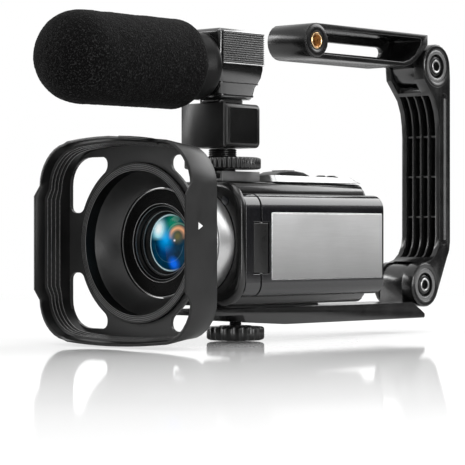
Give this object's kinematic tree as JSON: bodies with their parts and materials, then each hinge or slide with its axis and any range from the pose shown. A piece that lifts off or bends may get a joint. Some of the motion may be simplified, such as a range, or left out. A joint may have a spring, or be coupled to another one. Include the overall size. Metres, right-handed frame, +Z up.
{
  "type": "camcorder",
  "caption": "Compact video camera with wide lens, square lens hood, shoe microphone with foam windscreen, folding side screen and a folding C-shaped carrying bracket.",
  "frame": {"origin": "on the floor under the camera screw, at the centre of the knob's flat bottom", "axes": "+Z up, the lens looks to -Y, the folding screen is on the +X side"},
  "size_m": [0.1018, 0.2905, 0.161],
  "materials": {
    "black_plastic": "satin black moulding",
    "matt_black": "matt black moulding",
    "foam": "fine open foam",
    "silver_paint": "silver painted plastic",
    "silver_metal": "satin turned aluminium",
    "black_metal": "black anodised aluminium",
    "gunmetal": "dark grey metallic paint",
    "lens_glass": "coated optical glass",
    "screen_glass": "glossy black screen",
    "board": "circuit board",
    "brass": "turned brass",
    "steel": "plated steel",
    "rubber": "ribbed rubber",
    "webbing": "padded webbing",
    "grey_plastic": "dark grey moulding"
  },
  "bodies": {
    "camera": {"hood_frame": "matt_black", "hood_step_ring": "black_metal", "wide_lens_barrel": "black_metal", "lens_retaining_ring": "black_metal", "wide_lens_glass": "lens_glass", "silver_adapter_ring": "silver_metal", "lens_tube": "black_plastic", "lens_front_element": "lens_glass", "front_cover": "black_plastic", "body_shell_screen_side": "gunmetal", "body_shell_grip_side": "black_plastic", "tripod_bush": "brass", "sensor_board": "board", "main_board": "board", "rear_cover": "black_plastic", "battery_pack": "grey_plastic", "top_cover": "silver_paint", "accessory_shoe": "steel", "hinge_housing": "gunmetal", "lcd_hinge_block": "black_plastic", "lcd_hinge_pin": "steel", "strap_lug_front": "black_plastic", "strap_lug_rear": "black_plastic", "hand_strap": "webbing", "mic_foot": "black_plastic", "mic_power_box": "black_plastic", "mic_front_cap": "black_plastic", "mic_cell": "steel", "mic_body": "black_plastic", "mic_rib_panel_screen_side": "black_plastic", "mic_rib_panel_grip_side": "black_plastic", "mic_collar": "black_plastic", "mic_capsule_tube": "grey_plastic", "mic_capsule": "grey_plastic", "mic_windscreen": "foam", "base_pad": "rubber", "base_plate": "matt_black", "lower_hinge_bolt": "steel", "lower_hinge_nut": "steel"},
    "screen": {"lcd_shell": "gunmetal", "lcd_cover_plate": "silver_paint", "lcd_screen": "screen_glass"},
    "grip": {"grip_frame": "matt_black"},
    "arm": {"top_arm": "matt_black", "arm_thread_insert": "brass", "upper_hinge_bolt": "steel", "upper_hinge_nut": "steel"},
    "knob": {"base_knob": "black_plastic", "tripod_screw": "steel"},
    "lock_wheel": {"mic_lock_wheel": "black_plastic"},
    "zoom": {"zoom_lever": "silver_paint"},
    "photo": {"photo_button": "silver_paint"},
    "mode": {"mode_button": "silver_paint"},
    "record": {"record_button": "silver_paint"},
    "switch": {"mic_switch": "grey_plastic"},
    "latch": {"battery_latch": "grey_plastic"}
  },
  "joints": [
    {"name": "screen_swing", "type": "hinge", "parent": "camera", "child": "screen", "pos_m": [0.028, -0.0126, 0.0486], "axis": [0, 0, -1], "range_deg": [0, 90]},
    {"name": "grip_fold", "type": "hinge", "parent": "camera", "child": "grip", "pos_m": [0, 0.1396, 0.0253], "axis": [-1, 0, 0], "range_deg": [0, 90]},
    {"name": "arm_fold", "type": "hinge", "parent": "grip", "child": "arm", "pos_m": [0, 0.15, 0.1443], "axis": [-1, 0, 0], "range_deg": [0, 90]},
    {"name": "knob_turn", "type": "hinge", "parent": "camera", "child": "knob", "pos_m": [0, 0, 0], "axis": [0, 0, 1], "continuous": true},
    {"name": "lock_wheel_turn", "type": "hinge", "parent": "camera", "child": "lock_wheel", "pos_m": [0, -0.0095, 0.0849], "axis": [0, 0, 1], "continuous": true},
    {"name": "zoom_slide", "type": "slide", "parent": "camera", "child": "zoom", "axis": [0, 1, 0], "range_m": [-0.002, 0.002], "stiffness_N_per_m": 300},
    {"name": "photo_press", "type": "slide", "parent": "camera", "child": "photo", "axis": [0, 0, -1], "range_m": [0, 0.0005], "stiffness_N_per_m": 600, "springref_m": -0.0005},
    {"name": "mode_press", "type": "slide", "parent": "camera", "child": "mode", "axis": [0, 0, -1], "range_m": [0, 0.0005], "stiffness_N_per_m": 600, "springref_m": -0.0005},
    {"name": "record_press", "type": "slide", "parent": "camera", "child": "record", "axis": [0, -1, 0], "range_m": [0, 0.0008], "stiffness_N_per_m": 600, "springref_m": -0.0005},
    {"name": "mic_switch_slide", "type": "slide", "parent": "camera", "child": "switch", "axis": [1, 0, 0], "range_m": [-0.003, 0.003]},
    {"name": "latch_slide", "type": "slide", "parent": "camera", "child": "latch", "axis": [1, 0, 0], "range_m": [0, 0.003], "stiffness_N_per_m": 200, "springref_m": -0.001}
  ]
}
